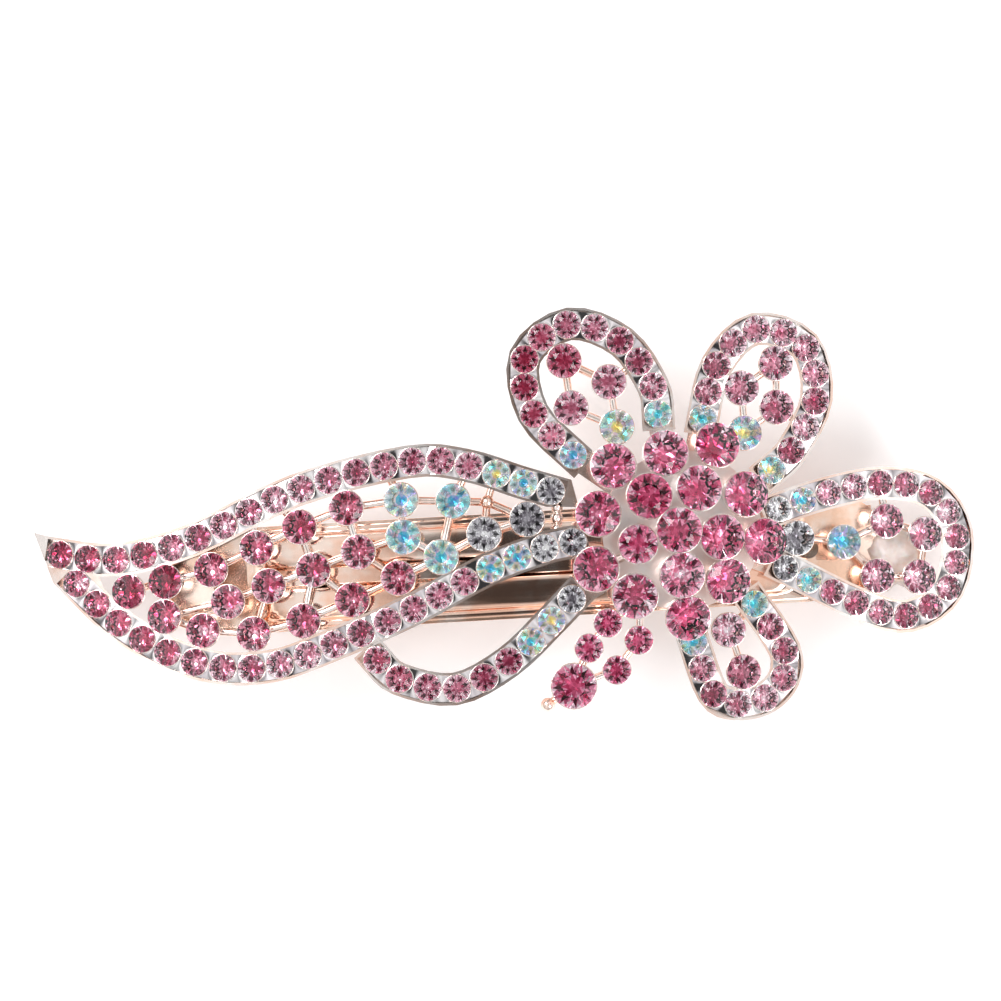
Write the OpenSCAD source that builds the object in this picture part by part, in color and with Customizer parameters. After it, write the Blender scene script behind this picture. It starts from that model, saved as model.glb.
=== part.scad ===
// Rhinestone hair clip: a flower and leaf ornament on an automatic barrette.
// +X runs along the clip towards the flower, +Z faces out of the hair, origin under the middle of the box.

/* [Ornament] */
// Radius of the arch that the ornament and the barrette follow along X
arch_r = 145; // [140:5:160]
// Place of the arch's crest along X
arch_x = 2; // [1:0.5:3]
// Thickness of the floor of every casting
floor_t = 0.7; // [0.6:0.1:0.8]
// Height of the rims above the floor
rim_h = 1.25; // [1.1:0.05:1.3]
// Half of the width of a stone-set band
band_w = 1.65; // [1.6:0.05:1.75]
// Half of the width of the channel in a band
channel_w = 1.4; // [1.38:0.01:1.42]
// Radius of the rods of the lattice
rod_r = 0.42; // [0.35:0.01:0.5]

/* [Stones] */
// Girdle radius of the band stones
band_stone_r = 1.36; // [1.3:0.01:1.37]
// Girdle radius of the right petal's closely set band stones
right_stone_r = 1.26; // [1.2:0.01:1.27]
// Girdle radius of the lower petal's band stones
lower_stone_r = 1.33; // [1.25:0.01:1.34]
// Girdle radius of the single stones in the leaf and the petals
inner_stone_r = 1.7; // [1.6:0.05:1.75]
// Girdle radius of the stones in the flower's centre
centre_stone_r = 2.25; // [2.1:0.05:2.3]
// Girdle radius of the small stones of the sprig
sprig_stone_r = 1.4; // [1.3:0.05:1.45]
// Gap between a stone and its cup
seat_gap = 0.04; // [0.02:0.01:0.06]

/* [Barrette] */
// Length of the base plate
plate_l = 72.5; // [72:0.5:73]
// Width of the base plate
plate_w = 10.6; // [10:0.1:11]
// Thickness of the base plate
plate_t = 0.8; // [0.7:0.1:0.9]
// Angle of the barrette from X
plate_turn = 3.3; // [2:0.1:4]
// Height of the base plate's top at its crest
plate_z = 10.6; // [10.4:0.1:11]
// Width of each stiffening rib
rib_w = 2.8; // [2.4:0.1:3]
// Width of the clasp arm
arm_w = 6; // [5.6:0.1:6]
// Thickness of the clasp arm
arm_t = 0.8; // [0.7:0.1:0.9]
// Radius of the hinge pin
pin_r = 0.6; // [0.5:0.05:0.65]
// Running gap between the hinge pin and the arm's eye
pin_gap = 0.05; // [0.02:0.01:0.1]

/* [Hidden] */
$fn = 32;

metal = [0.87, 0.66, 0.56];
steel = [0.80, 0.74, 0.71];
rose = [0.80, 0.35, 0.52];
aurora = [0.65, 0.85, 0.85];
clear = [0.75, 0.74, 0.78];

rib_h = 0.5;                              // ribs above the base plate
solder_h = 0.2;                           // solder between the ribs and the castings
floor_z = plate_z + rib_h + solder_h + floor_t;   // top of the castings' floor at the crest
band_girdle = rim_h + 0.05;               // girdle heights above the floor
inner_girdle = 1.5;
hub = [17.7, -1.7];                       // middle of the flower
hub_r = 8;                                // the flower's hub disc
hub_t = 0.6;
cup_in = 0.8;                             // where a rod ends inside a cup's foot

// Curves
function spline_at(a, b, c, d, t) =
    0.5 * (2 * b + (c - a) * t + (2 * a - 5 * b + 4 * c - d) * t * t
    + (3 * b - a - 3 * c + d) * t * t * t);

// A smooth line through control points, with a number of steps between two of them
function smooth(c, steps = 4) = let (n = len(c)) concat(
    [for (i = [0:n - 2], k = [0:steps - 1])
        spline_at(c[max(i - 1, 0)], c[i], c[i + 1], c[min(i + 2, n - 1)], k / steps)],
    [c[n - 1]]);

// Distance along a line to each of its points
function lengths(p) = [for (i = 0, s = 0; i < len(p);
    s = s + norm(p[min(i + 1, len(p) - 1)] - p[i]), i = i + 1) s];

// Equally spaced places along a line
function spaced(p, count) = let (
    s = lengths(p),
    end = s[len(s) - 1],
    xs = [for (i = [0:len(p) - 1]) [s[i], p[i].x]],
    ys = [for (i = [0:len(p) - 1]) [s[i], p[i].y]])
    [for (k = [0:count - 1]) [lookup(end * k / (count - 1), xs), lookup(end * k / (count - 1), ys)]];

function unit(v) = v / norm(v);
function normal_at(p, i) = let (t = unit(p[min(i + 1, len(p) - 1)] - p[max(i - 1, 0)])) [-t.y, t.x];
function side(p, w) = [for (i = [0:len(p) - 1]) p[i] + normal_at(p, i) * w];
function backwards(p) = [for (i = [len(p) - 1:-1:0]) p[i]];
function stretched(p, e) = let (n = len(p)) concat(
    [p[0] + unit(p[0] - p[1]) * e], [for (i = [1:n - 2]) p[i]],
    [p[n - 1] + unit(p[n - 1] - p[n - 2]) * e]);
function part_of(v, first, last) = [for (i = [first:last]) v[i]];
function nearest(p, row) = let (d = [for (q = row) norm(q - p)]) row[search(min(d), d)[0]];

// Rows of stones and the single stones
leaf_top_line = smooth([[-44.8, -4.2], [-39, -4.7], [-31.3, -2.7], [-21.1, 2.2],
    [-9.8, 5.1], [-4, 4.8], [1.5, 3.1], [4.6, 2.2]]);
leaf_low_line = smooth([[-43.1, -7.1], [-39.2, -10.8], [-34.1, -13.9], [-28.7, -15.5],
    [-23.2, -15.3], [-17.7, -13.4], [-9.5, -9.8], [-1.6, -5.6], [4, -3.5], [6.8, -2.9]]);
loop_line = smooth([[-12.8, -14.7], [-10.6, -16.6], [-5, -17.6], [0.3, -14.9], [4.6, -10.8], [6.7, -8.6]]);
upper_left_line = smooth([[6.8, 5.8], [2.8, 10], [2, 15.6], [6.4, 18.9], [11.7, 17.1],
    [14.8, 12.7], [15.3, 9.9]]);
upper_right_line = smooth([[19.8, 9.4], [21.2, 14.8], [25, 18.4], [30, 16.8], [31.2, 11.5],
    [28.8, 6.4], [26.7, 4.3]]);
right_line = smooth([[27.4, 0.4], [32.3, 2], [37.9, 3], [42.8, 2], [45.4, -1.9], [44.6, -7.5],
    [40.7, -10.3], [35.9, -9.3], [28.1, -5.5]]);
lower_line = smooth([[25, -9.1], [28, -13.7], [27.9, -16.6], [25.9, -18.6], [23, -19.1],
    [20.8, -18], [18.9, -12.9]]);

leaf_top = spaced(leaf_top_line, 19);
leaf_low = spaced(leaf_low_line, 20);
loop_row = spaced(loop_line, 9);
upper_left_row = spaced(upper_left_line, 12);
upper_right_row = spaced(upper_right_line, 12);
right_row = spaced(right_line, 18);
lower_row = spaced(lower_line, 9);

// The leaf's single stones: sixteen rose, four aurora, two clear
leaf_inner = [
    [-37.8, -7.9], [-34.1, -6.9], [-34.2, -10.4], [-29.5, -5.7], [-27.8, -8.9], [-30.3, -11.8],
    [-24.9, -3.5], [-23.7, -7.3], [-25.2, -12.1], [-20.6, -1.4], [-15.9, 0.5], [-19.2, -5.7],
    [-20.2, -10.8], [-14.7, -3.9], [-15.3, -8.7], [-10.7, -6.5],
    [-10.4, 1.3], [-10.2, -2.4], [-5.2, 1.2], [-6.4, -4.4],
    [-2.1, -2.1], [2.2, -0.6]
];
// Pairs of those stones that a rod joins
leaf_rods = [
    [0, 1], [1, 2], [2, 5], [1, 3], [2, 4], [3, 6], [4, 7], [7, 8], [7, 11], [9, 11], [11, 12], [11, 14],
    [11, 13],
    [12, 14], [14, 15], [13, 15], [13, 17], [10, 13], [10, 16], [9, 10], [6, 9], [16, 17],
    [16, 18], [18, 19], [17, 19], [15, 19], [19, 20], [20, 21], [8, 12], [5, 8]
];
leaf_knot = [-1.8, 1.1];                  // a small ball where four rods meet
leaf_beads = [[5.2, 0.6], [5.2, -0.5], [5.2, -1.6]];

upper_left_inner = [[5.9, 15.2], [10.4, 13.1], [6.6, 10.5], [11.2, 8.6]];
upper_right_inner = [[27.1, 15], [23.7, 12.5], [27.2, 10.6], [24, 8]];
right_inner = [[38.3, -0.8], [42.2, -2.1], [37.4, -6.3], [41.6, -6.4], [34, -2.9], [29.3, -2.5]];
lower_inner = [[22.4, -11.7], [23.9, -15.9]];

// The flower's centre: place, and height of the girdle above the floor
centre_stones = [
    [10.8, 4.7, 3.3], [16.05, 6, 3.6], [21.2, 6.8, 3.2], [14.4, 1.7, 4.2], [19.4, 2.5, 4.5],
    [24.1, 1.9, 3.6], [9.3, -0.1, 3.3], [17.4, -1.7, 5], [21.7, -2.4, 4.4], [26, -2.8, 3.3],
    [9.1, -5.6, 3.3], [17.7, -6.2, 4.5], [22.3, -6.8, 3.7], [13, -8.3, 3.6], [18.3, -10.5, 3.3]
];
low_centre_stone = [13.3, -3.1, 3.4];
low_centre_r = 1.95;

// The sprig: four small stones, one large, and a ball at the tip
sprig_small = [[10.3, -11], [8.4, -13.5], [13.4, -12.7], [11.2, -15.7]];
sprig_big = [6.9, -17.3];
sprig_tip = [4.3, -19.2];
sprig_girdle = 1.9;

// Helpers
// Height of the castings' floor at x
function floor_at(x) = floor_z - arch_r + sqrt(arch_r * arch_r - (x - arch_x) * (x - arch_x));
function lean(x) = asin((x - arch_x) / arch_r);

// A layer of the arch between two heights above the castings' floor
module arch_layer(low, high) {
    $fn = 360;
    translate([arch_x, 0, floor_z - arch_r]) rotate([90, 0, 0]) difference() {
        cylinder(r = arch_r + high, h = 90, center = true);
        cylinder(r = arch_r + low, h = 91, center = true);
    }
}

// A flat shape, bent over the arch between two heights
module bent(low, high) {
    intersection() {
        linear_extrude(height = 30) children();
        arch_layer(low, high);
    }
}

module band(line, w) {
    polygon(concat(side(line, w), backwards(side(line, -w))));
}

// A stone-set band: a floor with a channel that leaves two rims
module set_band(line) {
    difference() {
        bent(-floor_t, rim_h) band(stretched(line, band_w), band_w);
        bent(0, rim_h + 1) band(stretched(line, channel_w), channel_w);
    }
}

module placed(p, height) {
    translate([p.x, p.y, floor_at(p.x) + height]) rotate([0, lean(p.x), 0]) children();
}

// Tilts a piece away from the middle of the flower
module opened(p) {
    out = [p.x, p.y] - hub;
    rotate(atan2(out.y, out.x)) rotate([0, norm(out) * 1.1, 0]) rotate(-atan2(out.y, out.x)) children();
}

// A pointed-back stone, with its girdle's lower edge at z = 0
module stone(r) {
    rotate_extrude() polygon([[0, -0.78 * r], [0.15 * r, -0.78 * r], [r, 0], [r, 0.08 * r],
        [0.56 * r, 0.38 * r], [0, 0.38 * r]]);
}

// The cup that holds a stone by its pointed back, down to a foot
module cup(r, foot) {
    seat = -0.78 * r - seat_gap;
    lip = -0.18 * r - seat_gap;
    rotate_extrude() polygon([[0, foot], [0.6 * r, foot], [0.9 * r, lip], [0.8 * r, lip],
        [0.15 * r, seat], [0, seat]]);
}

module stones(list, r, height) {
    for (p = list) placed(p, height) stone(r);
}

module cups(list, r, height) {
    for (p = list) placed(p, height) cup(r, -height - floor_t);
}

// A round rod between two places, at a height above the floor, shortened at both ends
module rod(p, q, r = rod_r, height = -0.1, trim = 0) {
    short = unit(q - p) * trim;
    a = [p.x + short.x, p.y + short.y, floor_at(p.x + short.x) + height];
    b = [q.x - short.x, q.y - short.y, floor_at(q.x - short.x) + height];
    d = b - a;
    translate(a) rotate([0, acos(d.z / norm(d)), atan2(d.y, d.x)]) cylinder(r = r, h = norm(d));
}

// Rods between pairs of single stones, from cup wall to cup wall
module lattice(list, pairs) {
    for (k = pairs) rod(list[k[0]], list[k[1]], trim = cup_in);
}

// Rods from single stones to the band beside them
module pegs(list, row, reach = 4.3) {
    for (p = list) {
        q = nearest(p, row);
        away = unit(q - p);
        if (norm(q - p) < reach) rod(p + away * cup_in, q - away * (band_w - 0.2));
    }
}

// A strap of the floor from the end of a band to the hub
module strap(p) {
    d = hub - p;
    bent(-floor_t, 0) translate(p) rotate(atan2(d.y, d.x))
        translate([0, -1.2]) square([norm(d) - hub_r + 1.5, 2.4]);
}

// Castings of the ornament
leaf_tip = [-47.4, -2];
leaf_window_start = 2;                    // where the two rows of the leaf part, in points of their lines

module leaf_outline() {
    top = stretched(leaf_top_line, band_w);
    low = stretched(leaf_low_line, band_w);
    polygon(concat(backwards(side(top, band_w)), [leaf_tip], side(low, -band_w)));
}

module leaf_window() {
    top = side(leaf_top_line, -band_w);
    low = side(leaf_low_line, band_w);
    polygon(concat(part_of(low, leaf_window_start, len(low) - 1), [[9, -1.2], [7, 0.6]],
        backwards(part_of(top, leaf_window_start + 1, len(top) - 1))));
}

module leaf_frame() {
    color(metal) {
        difference() {
            bent(-floor_t, rim_h) leaf_outline();
            bent(0, rim_h + 1) band(stretched(leaf_top_line, channel_w), channel_w);
            bent(0, rim_h + 1) band(stretched(leaf_low_line, channel_w), channel_w);
            bent(-floor_t - 1, rim_h + 1) leaf_window();
        }
        cups(leaf_inner, inner_stone_r, inner_girdle);
        lattice(leaf_inner, leaf_rods);
        pegs(leaf_inner, concat(leaf_top, leaf_low));
        for (k = [18, 20, 21]) rod(leaf_knot, leaf_inner[k], trim = 0.5);
        rod(leaf_knot, leaf_knot + [0.8, 2.9], trim = 0.5);
        placed(leaf_knot, 0.1) sphere(r = 0.7);
        rod(leaf_beads[0] + [0, 0.6], leaf_beads[2] - [0, 0.6]);
        for (p = leaf_beads) placed(p, 0.2) sphere(r = 0.6);
    }
}

module loop_band() {
    color(metal) {
        set_band(loop_line);
        strap(loop_line[len(loop_line) - 1]);
    }
}

// A petal: a set band round single stones on a small lattice
module petal(line, row, inner, rods) {
    color(metal) {
        set_band(line);
        strap(line[0]);
        strap(line[len(line) - 1]);
        cups(inner, inner_stone_r, inner_girdle);
        lattice(inner, rods);
        pegs(inner, row);
    }
}

module petal_upper_left() {
    petal(upper_left_line, upper_left_row, upper_left_inner, [[0, 1], [0, 2], [1, 3], [2, 3]]);
}

module petal_upper_right() {
    petal(upper_right_line, upper_right_row, upper_right_inner, [[0, 1], [0, 2], [1, 3], [2, 3]]);
}

module petal_right() {
    petal(right_line, right_row, right_inner, [[0, 1], [0, 4], [1, 3], [2, 3], [2, 4], [4, 5]]);
}

module petal_lower() {
    petal(lower_line, lower_row, lower_inner, [[0, 1]]);
}

// The hub disc with a post and a cup for each stone
module flower_centre() {
    color(metal) {
        bent(0, hub_t) translate(hub) circle(r = hub_r);
        for (p = concat(centre_stones, [low_centre_stone])) {
            r = p == low_centre_stone ? low_centre_r : centre_stone_r;
            placed(p, p.z) opened(p) cup(r, -0.78 * r - 0.5);
            rod_top = floor_at(p.x) + p.z - 0.78 * r - 0.3;
            translate([p.x, p.y, floor_at(p.x) + 0.2]) cylinder(r = 0.65, h = rod_top - floor_at(p.x) - 0.2);
            out = unit([p.x, p.y] - hub);
            if (norm([p.x, p.y] - hub) > hub_r - 0.8) rod(hub + out * (hub_r - 1.5), [p.x, p.y], 0.45, 0.7);
        }
    }
}

module sprig() {
    root = [13.6, -8.6];
    color(metal) {
        cups(sprig_small, sprig_stone_r, sprig_girdle);
        placed(sprig_big, sprig_girdle) cup(centre_stone_r, -sprig_girdle - floor_t);
        rod(root, sprig_small[0]);
        rod(sprig_small[0], sprig_small[1]);
        rod(sprig_small[1], sprig_big, trim = 0.6);
        rod(sprig_big, sprig_tip, trim = 0.6);
        rod(root, sprig_small[2]);
        rod(sprig_small[2], sprig_small[3]);
        rod(sprig_small[3], sprig_big, trim = 0.6);
        placed(sprig_tip, 0.1) sphere(r = 0.75);
    }
}

// Stones
module leaf_band_rose() {
    color(rose)
        stones(concat(part_of(leaf_top, 0, 15), part_of(leaf_low, 0, 15)), band_stone_r, band_girdle);
}
module leaf_band_aurora() {
    color(aurora)
        stones([leaf_top[16], leaf_top[17], leaf_low[16], leaf_low[17]], band_stone_r, band_girdle);
}
module leaf_band_clear() {
    color(clear) stones([leaf_top[18], leaf_low[18], leaf_low[19]], band_stone_r, band_girdle);
}
module leaf_inner_rose() {
    color(rose) stones(part_of(leaf_inner, 0, 15), inner_stone_r, inner_girdle);
}
module leaf_inner_aurora() {
    color(aurora) stones(part_of(leaf_inner, 16, 19), inner_stone_r, inner_girdle);
}
module leaf_inner_clear() {
    color(clear) stones(part_of(leaf_inner, 20, 21), inner_stone_r, inner_girdle);
}
module loop_rose() {
    color(rose) stones(part_of(loop_row, 0, 5), band_stone_r, band_girdle);
}
module loop_aurora() {
    color(aurora) stones(part_of(loop_row, 6, 7), band_stone_r, band_girdle);
}
module loop_clear() {
    color(clear) stones([loop_row[8]], band_stone_r, band_girdle);
}
module upper_left_rose() {
    color(rose) {
        stones(part_of(upper_left_row, 1, 10), band_stone_r, band_girdle);
        stones(part_of(upper_left_inner, 0, 2), inner_stone_r, inner_girdle);
    }
}
module upper_left_aurora() {
    color(aurora) {
        stones([upper_left_row[0], upper_left_row[11]], band_stone_r, band_girdle);
        stones([upper_left_inner[3]], inner_stone_r, inner_girdle);
    }
}
module upper_right_rose() {
    color(rose) {
        stones(part_of(upper_right_row, 1, 10), band_stone_r, band_girdle);
        stones(part_of(upper_right_inner, 0, 2), inner_stone_r, inner_girdle);
    }
}
module upper_right_aurora() {
    color(aurora) {
        stones([upper_right_row[0], upper_right_row[11]], band_stone_r, band_girdle);
        stones([upper_right_inner[3]], inner_stone_r, inner_girdle);
    }
}
module right_rose() {
    color(rose) {
        stones(part_of(right_row, 2, 15), right_stone_r, band_girdle);
        stones(part_of(right_inner, 0, 3), inner_stone_r, inner_girdle);
    }
}
module right_aurora() {
    color(aurora) {
        stones([right_row[1], right_row[16]], right_stone_r, band_girdle);
        stones([right_inner[4]], inner_stone_r, inner_girdle);
    }
}
module right_clear() {
    color(clear) {
        stones([right_row[0], right_row[17]], right_stone_r, band_girdle);
        stones([right_inner[5]], inner_stone_r, inner_girdle);
    }
}
module lower_rose() {
    color(rose) {
        stones(part_of(lower_row, 1, 7), lower_stone_r, band_girdle);
        stones(lower_inner, inner_stone_r, inner_girdle);
    }
}
module lower_aurora() {
    color(aurora) stones([lower_row[0], lower_row[8]], lower_stone_r, band_girdle);
}
module centre_rose() {
    color(rose) {
        for (p = centre_stones) placed(p, p.z) opened(p) stone(centre_stone_r);
        placed(low_centre_stone, low_centre_stone.z) opened(low_centre_stone) stone(low_centre_r);
    }
}
module sprig_rose() {
    color(rose) {
        stones(sprig_small, sprig_stone_r, sprig_girdle);
        placed(sprig_big, sprig_girdle) stone(centre_stone_r);
    }
}

// Barrette
// Its own axes: u along the plate, v across it, from the plate's middle.

plate_mid = [2.2, -5.2];
rib_offset = 2.6;                         // middle of a rib from the plate's middle line
rib_from = -25;
rib_to = 25;
pin_u = -33.5;
pin_z = 1.2;
eye_r = 1.2;
ear_t = 0.8;
ear_v = arm_w / 2 + 0.1;                  // inner face of an ear
strip_end = 27;
strip_t = 0.4;
strip_w = 4.5;
strip_r = 607;                            // the strip is bowed less than the plate
strip_top = 7.9;                          // height of the strip's top at its middle
rivet_u = 25.5;
rivet_r = 0.6;
arm_r = 352;                              // the arm's own arch
arm_u = 4;
arm_under = 2.2;                          // underside of the arm at its crest
arm_end_from = 26.5;
arm_end_to = 35;
arm_end_w = 8;
jaw_from = 29;
jaw_l = 3;
jaw_t = 0.6;
jaw_v = 1.9;                              // middle of a jaw
jaw_z = 5.2;                              // the jaw's bend line
catch_u = 30;                             // middle of the catch bracket
catch_rivet_u = 28.3;
catch_t = 0.6;
barb = 0.42;

module barrette() {
    translate([plate_mid.x, plate_mid.y, 0]) rotate(plate_turn) children();
}

// A layer of an arch across the barrette, between two heights above its underside
module bow(r, u, under, low, high) {
    $fn = 360;
    translate([u, 0, under - r]) rotate([90, 0, 0]) difference() {
        cylinder(r = r + high, h = 20, center = true);
        cylinder(r = r + low, h = 21, center = true);
    }
}

module plate_layer(low, high) {
    bow(arch_r, 0, plate_z - plate_t, low, high);
}

// Height of the plate's underside at u
function under_at(u) = plate_z - plate_t - arch_r + sqrt(arch_r * arch_r - u * u);

module plate_outline() {
    half = plate_l / 2 - plate_w / 2;
    translate([-half, -plate_w / 2]) square([2 * half, plate_w]);
    for (u = [-half, half]) translate([u, 0]) circle(r = plate_w / 2);
}

module rib_outline() {
    for (v = [-rib_offset, rib_offset]) {
        translate([rib_from, v - rib_w / 2]) square([rib_to - rib_from, rib_w]);
        for (u = [rib_from, rib_to]) translate([u, v]) circle(r = rib_w / 2);
    }
}

module ear(v) {
    top = under_at(pin_u) + 0.3;
    translate([pin_u, v, pin_z]) rotate([90, 0, 0]) cylinder(r = eye_r, h = ear_t, center = true);
    translate([pin_u - eye_r, v - ear_t / 2, pin_z]) cube([2 * eye_r, ear_t, top - pin_z]);
}

module base_plate() {
    color(steel) barrette() difference() {
        union() {
            intersection() {
                linear_extrude(height = 20) plate_outline();
                plate_layer(0, plate_t);
            }
            intersection() {
                linear_extrude(height = 20) rib_outline();
                plate_layer(plate_t / 2, plate_t + rib_h);
            }
            for (s = [-1, 1]) ear(s * (ear_v + ear_t / 2));
        }
        translate([pin_u, 0, pin_z]) rotate([90, 0, 0]) cylinder(r = pin_r, h = plate_w + 2, center = true);
        for (u = [-rivet_u, rivet_u]) translate([u, 0, 0]) cylinder(r = rivet_r, h = 20);
        translate([-31.5, -2.4, 0]) cube([3.4, 4.8, 20]);
        translate([jaw_from, -1.2, 0]) cube([jaw_l + 1, 2.4, 20]);
        translate([catch_rivet_u, 0, 0]) cylinder(r = rivet_r, h = 20);
    }
}

module hinge_pin() {
    length = 2 * (ear_v + ear_t);
    color(steel) barrette() translate([pin_u, 0, pin_z]) rotate([90, 0, 0]) {
        cylinder(r = pin_r, h = length, center = true);
        for (s = [-1, 1]) translate([0, 0, s * (length / 2 + 0.15)])
            cylinder(r = pin_r + 0.3, h = 0.3, center = true);
    }
}

module clasp_arm() {
    color(steel) barrette() difference() {
        union() {
            translate([pin_u, 0, pin_z]) rotate([90, 0, 0]) cylinder(r = eye_r, h = arm_w, center = true);
            intersection() {
                linear_extrude(height = 10) {
                    translate([pin_u, -arm_w / 2]) square([arm_end_to - pin_u, arm_w]);
                    translate([arm_end_from, -arm_end_w / 2]) square([arm_end_to - arm_end_from, arm_end_w]);
                }
                bow(arm_r, arm_u, arm_under, 0, arm_t);
            }
            translate([arm_end_to - 1, -arm_end_w / 2, 0]) cube([1, arm_end_w, 1.4]);
        }
        translate([pin_u, 0, pin_z]) rotate([90, 0, 0]) cylinder(r = pin_r + pin_gap, h = 20, center = true);
        translate([jaw_from - 0.8, -2.7, -1]) cube([jaw_l + 1.6, 5.4, 10]);
    }
}

module tension_strip() {
    color(steel) barrette() difference() {
        intersection() {
            translate([-strip_end, -strip_w / 2, 0]) cube([2 * strip_end, strip_w, 12]);
            bow(strip_r, 0, strip_top, -strip_t, 0);
        }
        for (u = [-rivet_u, rivet_u]) translate([u, 0, 0]) cylinder(r = rivet_r, h = 20);
    }
}

// A rivet between two heights, with a head at each end
module rivet(low, high) {
    head = 0.25;
    translate([0, 0, low - 0.05]) cylinder(r = rivet_r, h = high - low + 0.1);
    translate([0, 0, high]) cylinder(r = 1, h = head);
    translate([0, 0, low - head]) cylinder(r = 1, h = head);
}

module strip_rivets() {
    low = strip_top - strip_t - rivet_u * rivet_u / strip_r / 2;
    color(steel) barrette() for (u = [-rivet_u, rivet_u]) translate([u, 0, 0])
        rivet(low - 0.1, under_at(rivet_u) + plate_t + 0.2);
}

module catch_bracket() {
    color(steel) barrette() difference() {
        translate([catch_u, 0, under_at(catch_u)]) rotate([0, asin(catch_u / arch_r), 0])
            translate([-2.8, -3, -catch_t - 0.05]) cube([6.4, 6, catch_t]);
        translate([catch_rivet_u, 0, 0]) cylinder(r = rivet_r, h = 20);
    }
}

module catch_rivet() {
    color(steel) barrette() translate([catch_rivet_u, 0, 0])
        rivet(under_at(catch_rivet_u) - catch_t - 0.35, under_at(catch_rivet_u) + plate_t + 0.2);
}

// One prong of the catch, with a barb on its outer side
module jaw(s) {
    low = 0.5;
    color(steel) barrette() {
        translate([jaw_from, s * jaw_v, jaw_z]) rotate([0, 90, 0]) cylinder(r = jaw_t / 2, h = jaw_l);
        translate([jaw_from, s * jaw_v - jaw_t / 2, low]) cube([jaw_l, jaw_t, jaw_z - low]);
        translate([jaw_from, s * (jaw_v + jaw_t / 2 + barb / 2) - barb / 2, low]) cube([jaw_l, barb, 0.6]);
    }
}
module catch_jaw_front() {
    jaw(-1);
}
module catch_jaw_back() {
    jaw(1);
}

// Solder between the ribs and the castings above them
module solder_pads() {
    places = [[-27.8, -8.9], [-15.3, -8.7], [-14.7, -3.9], [-10.2, -2.6],
        [13, -2.2], [13, -7.4], [21, -1.8], [21, -6.6]];
    color(steel) for (p = places) placed(p, -floor_t - solder_h - 0.15)
        cylinder(r = 1.1, h = solder_h + 0.2);
}

// Glue that holds the plate's end to the right petal
module glue_mass() {
    color([0.85, 0.8, 0.78]) intersection() {
        placed([38.4, -4.6], -floor_t - 2.6) cylinder(r = 3.6, h = 5);
        arch_layer(-floor_t - 1.4, -floor_t + 0.05);
    }
}

base_plate();
hinge_pin();
clasp_arm();
tension_strip();
strip_rivets();
catch_bracket();
catch_jaw_front();
catch_jaw_back();
catch_rivet();
solder_pads();
glue_mass();
leaf_frame();
loop_band();
petal_upper_left();
petal_upper_right();
petal_right();
petal_lower();
flower_centre();
sprig();
leaf_band_rose();
leaf_band_aurora();
leaf_band_clear();
leaf_inner_rose();
leaf_inner_aurora();
leaf_inner_clear();
loop_rose();
loop_aurora();
loop_clear();
upper_left_rose();
upper_left_aurora();
upper_right_rose();
upper_right_aurora();
right_rose();
right_aurora();
right_clear();
lower_rose();
lower_aurora();
centre_rose();
sprig_rose();
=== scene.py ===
import math
import random
import bmesh
import bpy
from mathutils import Matrix, Vector, noise


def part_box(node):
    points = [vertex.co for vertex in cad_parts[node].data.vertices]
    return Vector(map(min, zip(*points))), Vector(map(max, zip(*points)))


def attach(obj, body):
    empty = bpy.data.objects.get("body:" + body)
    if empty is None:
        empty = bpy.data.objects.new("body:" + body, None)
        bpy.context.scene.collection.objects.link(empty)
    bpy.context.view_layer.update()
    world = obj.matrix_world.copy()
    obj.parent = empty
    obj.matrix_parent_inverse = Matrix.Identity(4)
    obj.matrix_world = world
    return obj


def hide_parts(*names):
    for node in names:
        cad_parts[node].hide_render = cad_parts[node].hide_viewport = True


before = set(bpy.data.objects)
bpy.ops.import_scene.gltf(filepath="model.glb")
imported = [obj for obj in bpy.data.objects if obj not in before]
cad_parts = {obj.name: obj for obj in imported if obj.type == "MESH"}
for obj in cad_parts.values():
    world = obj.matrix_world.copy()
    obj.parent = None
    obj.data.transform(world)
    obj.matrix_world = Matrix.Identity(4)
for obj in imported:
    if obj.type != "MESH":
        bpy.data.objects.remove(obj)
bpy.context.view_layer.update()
print("frame loaded:", len(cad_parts), "nodes")

mm = 0.001
baseBody = "clip_base"
barretteTurn = math.radians(3.3)      # the barrette lies slightly askew under the ornament

# Node helpers
def newGroup(name, inputs, outputs):
    group = bpy.data.node_groups.new(name, "ShaderNodeTree")
    for label, kind, value in inputs:
        socket = group.interface.new_socket(label, in_out="INPUT", socket_type=kind)
        socket.default_value = value
    for label, kind in outputs:
        group.interface.new_socket(label, in_out="OUTPUT", socket_type=kind)
    return group, group.nodes.new("NodeGroupInput"), group.nodes.new("NodeGroupOutput")


def addNode(tree, kind, settings=None, **inputs):
    node = tree.nodes.new(kind)
    for key, value in (settings or {}).items():
        setattr(node, key, value)
    for key, value in inputs.items():
        node.inputs[key].default_value = value
    return node


def mixColor(tree, factor, a, b, blend="MIX"):
    node = addNode(tree, "ShaderNodeMix", {"data_type": "RGBA", "blend_type": blend})
    colorSockets = [socket for socket in node.inputs if socket.type == "RGBA"]
    for target, value in zip([node.inputs[0]] + colorSockets, (factor, a, b)):
        if hasattr(value, "is_output"):
            tree.links.new(value, target)
        else:
            target.default_value = value
    return next(socket for socket in node.outputs if socket.type == "RGBA")


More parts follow.
